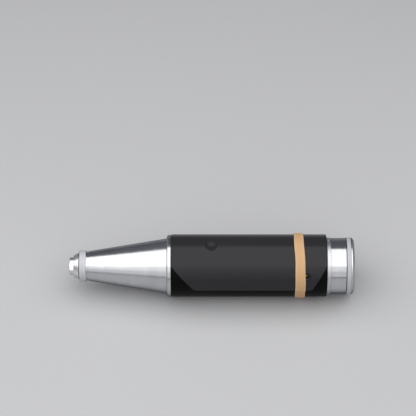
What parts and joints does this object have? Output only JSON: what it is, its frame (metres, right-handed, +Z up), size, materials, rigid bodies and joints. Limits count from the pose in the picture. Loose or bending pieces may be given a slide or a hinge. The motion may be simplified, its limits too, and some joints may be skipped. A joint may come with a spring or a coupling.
{
  "type": "handheld glass grinder",
  "caption": "Cordless hand-held glass grinder: tapered aluminium nose with a collet chuck, round black barrel with a grip panel, turned tail with a speed dial.",
  "frame": {"origin": "centre of the nose collar, on the spindle axis", "axes": "+X along the spindle from the nose to the tail, +Z up through the power button, so the charging socket is towards -Y"},
  "size_m": [0.2606, 0.0606, 0.0596],
  "materials": {
    "cone_aluminium": "fine-turned, satin",
    "collar_aluminium": "bead-blasted, matt",
    "chuck_steel": "bright turned steel",
    "tail_aluminium": "turned with fine circumferential lines",
    "dial_aluminium": "turned, satin",
    "ring_aluminium": "fine-turned, satin",
    "barrel_black": "black anodised, semi-gloss",
    "panel_grey": "soft-touch dark grey",
    "button_black": "moulded, satin",
    "trim_dark": "moulded, dark",
    "band_rubber": "tan natural rubber, matt",
    "seal_rubber": "black nitrile",
    "ground_steel": "ground",
    "bearing_steel": "polished",
    "screw_steel": "black-oxide",
    "set_screw_steel": "zinc-plated",
    "motor_steel": "zinc-plated, drawn",
    "magnet_ferrite": "sintered ferrite",
    "core_steel": "stacked sheet",
    "copper": "enamelled copper",
    "bronze": "sintered bronze",
    "carbon": "pressed carbon",
    "black_plastic": "moulded",
    "spider_rubber": "red elastomer",
    "switch_plastic": "moulded",
    "white_plastic": "moulded",
    "board_green": "solder-masked board",
    "chip_black": "moulded",
    "cell_sleeve": "shrink sleeve",
    "nickel": "nickel strip",
    "gold_contact": "gilt",
    "wire_insulation": "silicone insulation"
  },
  "bodies": {
    "housing": {"front_retainer": "collar_aluminium", "front_seal": "seal_rubber", "front_bearing_outer": "bearing_steel", "rear_bearing_outer": "bearing_steel", "preload_washer": "ground_steel", "nose_cone": "cone_aluminium", "nose_o_ring": "seal_rubber", "nose_lock_ring": "ring_aluminium", "motor_plate": "ring_aluminium", "plate_screws": "screw_steel", "motor_screws": "screw_steel", "motor_can": "motor_steel", "motor_magnets": "magnet_ferrite", "motor_bushes": "bronze", "carbon_brushes": "carbon", "motor_end_cap": "black_plastic", "motor_cradle": "black_plastic", "barrel": "barrel_black", "grip_panel": "panel_grey", "button_bezel": "trim_dark", "button_spring": "ground_steel", "switch_body": "switch_plastic", "switch_board": "board_green", "charge_socket": "black_plastic", "charge_pin": "gold_contact", "charge_bezel": "trim_dark", "battery_cells": "cell_sleeve", "cell_holder_front": "black_plastic", "cell_holder_rear": "black_plastic", "cell_links": "nickel", "control_board": "board_green", "board_components": "chip_black", "speed_pot": "switch_plastic", "pot_nut": "nickel", "tail_sleeve": "tail_aluminium", "tail_o_ring": "seal_rubber", "tail_set_screws": "set_screw_steel", "storage_band": "band_rubber", "wiring": "wire_insulation"},
    "rotor": {"collet": "ground_steel", "spindle": "ground_steel", "spindle_spacer": "ground_steel", "spindle_circlip": "screw_steel", "front_bearing_inner": "bearing_steel", "rear_bearing_inner": "bearing_steel", "coupling_hub_front": "ring_aluminium", "coupling_spider": "spider_rubber", "coupling_hub_rear": "ring_aluminium", "motor_shaft": "ground_steel", "armature_core": "core_steel", "armature_windings": "copper", "commutator": "copper"},
    "nut": {"collet_nut": "chuck_steel"},
    "front_rolling_set": {"front_bearing_balls": "bearing_steel"},
    "rear_rolling_set": {"rear_bearing_balls": "bearing_steel"},
    "button": {"power_button": "button_black", "switch_plunger": "white_plastic"},
    "dial": {"speed_dial": "dial_aluminium", "dial_insert": "trim_dark", "pot_shaft": "ground_steel"}
  },
  "joints": [
    {"name": "spindle_spin", "type": "hinge", "parent": "housing", "child": "rotor", "pos_m": [0, 0, 0], "axis": [1, 0, 0], "continuous": true},
    {"name": "front_balls_roll", "type": "hinge", "parent": "housing", "child": "front_rolling_set", "pos_m": [0.0098, 0, 0], "axis": [1, 0, 0], "continuous": true},
    {"name": "rear_balls_roll", "type": "hinge", "parent": "housing", "child": "rear_rolling_set", "pos_m": [0.0513, 0, 0], "axis": [1, 0, 0], "continuous": true},
    {"name": "nut_turn", "type": "hinge", "parent": "rotor", "child": "nut", "pos_m": [-0.008, 0, 0], "axis": [1, 0, 0], "range_deg": [0, 360]},
    {"name": "button_press", "type": "slide", "parent": "housing", "child": "button", "axis": [0, 0, -1], "range_m": [0, 0.001], "stiffness_N_per_m": 500, "springref_m": -0.001, "deforming": ["button_spring"]},
    {"name": "dial_turn", "type": "hinge", "parent": "housing", "child": "dial", "pos_m": [0.2413, 0, 0], "axis": [1, 0, 0], "range_deg": [0, 270]}
  ],
  "couplings": [
    {"joint": "front_balls_roll", "follows": "spindle_spin", "ratio": 0.36773},
    {"joint": "rear_balls_roll", "follows": "spindle_spin", "ratio": 0.36773}
  ]
}
